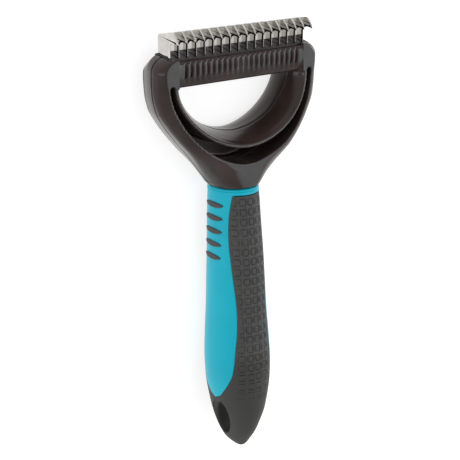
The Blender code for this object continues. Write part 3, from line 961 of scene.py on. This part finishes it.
def cell_depth(x, y):
    """How deep the surface is sunk at a spot of the grip's front or back."""
    column = min(2, max(-2, round(x / CELL_X)))
    row = min(CELL_ROWS - 1, max(0, round((CELL_TOP_Y - y) / CELL_Y)))
    dx = abs(x - column * CELL_X)
    dy = abs(y - (CELL_TOP_Y - row * CELL_Y))
    fade = smoothstep(30.0, 52.0, y)
    qx, qy = dx - CELL_HALF[0] + CELL_CORNER, dy - CELL_HALF[1] + CELL_CORNER
    distance = math.hypot(max(qx, 0), max(qy, 0)) + min(max(qx, qy), 0) - CELL_CORNER
    ring = math.exp(-(distance / GROOVE_SOFT) ** 2)
    across = math.exp(-((dy - CELL_HALF[1]) / GROOVE_SOFT) ** 2) * (dx < CELL_HALF[0])
    dash = ring * fade + across * (1 - fade)
    end = smoothstep(24.0, 31.0, y)
    return GROOVE_DEEP * dash * end


# %% The hole for hanging it up
HOLE_CENTRE = (16.4, 17.0)
HOLE_HALF = (9.4, 5.0)
HOLE_TILT = math.radians(17)
HOLE_RIM = 2.2


def hole_where(around, along):
    """A trumpet at both ends: the rim flares as it nears the surface."""
    x = -13.0 + 26.0 * along
    angle = math.tau * around
    y, z = HOLE_CENTRE[0] + HOLE_HALF[0] * math.cos(angle), HOLE_CENTRE[1] + HOLE_HALF[1] * math.sin(angle)
    reach = through(HANDLE, 1, max(0.5, y)) * math.sqrt(max(0.05, 1 - ((z - HOLE_CENTRE[1]) / 13.0) ** 2))
    into = min(1.0, max(0.0, (abs(x) - (reach - HOLE_RIM)) / HOLE_RIM))
    flare = HOLE_RIM * (1 - math.sqrt(max(0.0, 1 - into * into))) * 0.75
    a = (HOLE_HALF[0] + flare) * math.cos(angle)
    b = (HOLE_HALF[1] + flare) * math.sin(angle)
    return (x, HOLE_CENTRE[0] + a * math.cos(HOLE_TILT) - b * math.sin(HOLE_TILT),
            HOLE_CENTRE[1] + a * math.sin(HOLE_TILT) + b * math.cos(HOLE_TILT))


# %% The rubber grip
def grip_where(around, along):
    """The outer skin, with the cells pressed into it."""
    y = (RING_Y[0] - SEAM) * along ** 1.15
    turn = around - 0.3 / math.tau * math.sin(2 * math.tau * around)
    x, y, z = handle_point(turn, y)
    middle, half_x, half_z = through(HANDLE, 3, y), through(HANDLE, 1, y), through(HANDLE, 2, y)
    if y < 24 or abs(x) > 2.5 * CELL_X:
        return x, y, z
    edge = through(PANEL_EDGE, 1, y) - middle if y > PANEL_EDGE[0][0] else 0.0
    inside = smoothstep(0.4, 1.2, abs(z - middle) - edge)
    out = Vector((x / half_x ** 2, 0, (z - middle) / half_z ** 2)).normalized()
    return tuple(Vector((x, y, z)) - out * cell_depth(x, y) * inside)


def rubber_grip():
    grip = rolled("grip_overmould_rubber", 260, 330, grip_where)
    core = handle_tube("core", CORE_BOTTOM_Y, RING_Y[1] + 5, GRIP_THICK, 96, 2.0)
    leaf = panel_tool("leaf", SEAM / 2)
    hole = rolled("hole", 72, 60, hole_where)
    for tool in (core, leaf, hole):
        cut(grip, tool)
    settle(grip)
    discard(core, leaf, hole)
    dress(grip, GRIP_RUBBER)
    grip.data.shade_smooth()
    grip.data.set_sharp_from_angle(angle=math.radians(50))
    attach(grip, "root")
    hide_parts("grip_overmould")
    print("grip", len(grip.data.polygons), "faces")


rubber_grip()

# %% [markdown]
# ## Studio
#
# The tool lies on a light table, a pale sheet of opal acrylic that glows from beneath. The glow
# keeps the shadow faint and fills the undersides. White surroundings and long soft lights do the
# rest, as for a catalogue picture. The camera stands to the left of the tool's front and above it, a little
# over half a metre away.

# %% Floor and surroundings
def light_table(glow):
    bm = bmesh.new()
    bmesh.ops.create_grid(bm, x_segments=8, y_segments=8, size=1.5)
    floor = to_object("light_table", bm)
    mat, shader = new_finish("opal acrylic sheet", Roughness=0.7, Emission_Color=grey(1.0),
                             Emission_Strength=glow)
    coords = add(mat, "ShaderNodeTexCoord")
    cloud = add(mat, "ShaderNodeTexNoise", {"Vector": coords.outputs["Object"]}, {"Scale": 9.0})
    tone = ramp_of(mat, cloud.outputs["Fac"], [(0.3, grey(0.42)), (0.7, grey(0.44))])
    link(mat, tone, shader, "Base Color")
    floor.data.materials.append(mat)
    floor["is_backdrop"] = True


def surroundings(horizon, ceiling):
    """A white wall all round that dims towards the ceiling."""
    world = bpy.data.worlds.new("studio")
    bpy.context.scene.world = world
    world.use_nodes = True
    coords = add(world, "ShaderNodeTexCoord")
    up = add(world, "ShaderNodeSeparateXYZ", {"Vector": coords.outputs["Generated"]})
    dome = ramp_of(world, up.outputs["Z"], [(0.0, grey(1.0)), (1.0, grey(ceiling))])
    background = world.node_tree.nodes["Background"]
    link(world, dome, background, "Color")
    background.inputs["Strength"].default_value = horizon


light_table(0.75)
surroundings(0.95, 0.6)


# %% Soft lights and the camera
def soft_light(name, at, aim, size, power):
    light = bpy.data.lights.new(name, "AREA")
    light.shape = "RECTANGLE"
    light.size, light.size_y = size
    light.energy = power
    obj = bpy.data.objects.new(name, light)
    obj.location = at
    obj.rotation_euler = (Vector(aim) - Vector(at)).to_track_quat("-Z", "Y").to_euler()
    bpy.context.collection.objects.link(obj)


MIDDLE_OF_TOOL = (0, 0.02, 0.015)
soft_light("left_softbox", (-0.75, 0.1, 0.3), MIDDLE_OF_TOOL, (0.16, 0.8), 1.1)
soft_light("right_softbox", (0.75, 0.15, 0.35), MIDDLE_OF_TOOL, (0.2, 0.8), 2.0)
soft_light("overhead_softbox", (0.25, 0.1, 0.9), MIDDLE_OF_TOOL, (0.5, 0.9), 1.8)

FOCAL_PIXELS = 1300.0
FRAME_PIXELS = 460
SENSOR_MM = 36.0


def camera(turn, tip, distance, target):
    back = Vector((-math.sin(turn) * math.cos(tip), math.sin(tip), math.cos(turn) * math.cos(tip)))
    right = Vector((math.cos(turn), 0, math.sin(turn)))
    matrix = Matrix((right, back.cross(right), back)).transposed().to_4x4()
    matrix.translation = target + distance * back
    cam = bpy.data.objects.new("camera", bpy.data.cameras.new("camera"))
    cam.matrix_world = matrix
    cam.data.sensor_width = SENSOR_MM
    cam.data.lens = FOCAL_PIXELS / FRAME_PIXELS * SENSOR_MM
    cam.data.clip_start = 0.01
    bpy.context.collection.objects.link(cam)
    bpy.context.scene.camera = cam


camera(math.radians(37), math.radians(18.12), 0.5899, Vector((-0.00144, 0.00598, 0.0125)))
bpy.context.scene.view_settings.view_transform = "Standard"

# %% Write the sizes and finish
low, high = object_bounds()
print("visual size in mm", [round(v / MM, 1) for v in high - low])
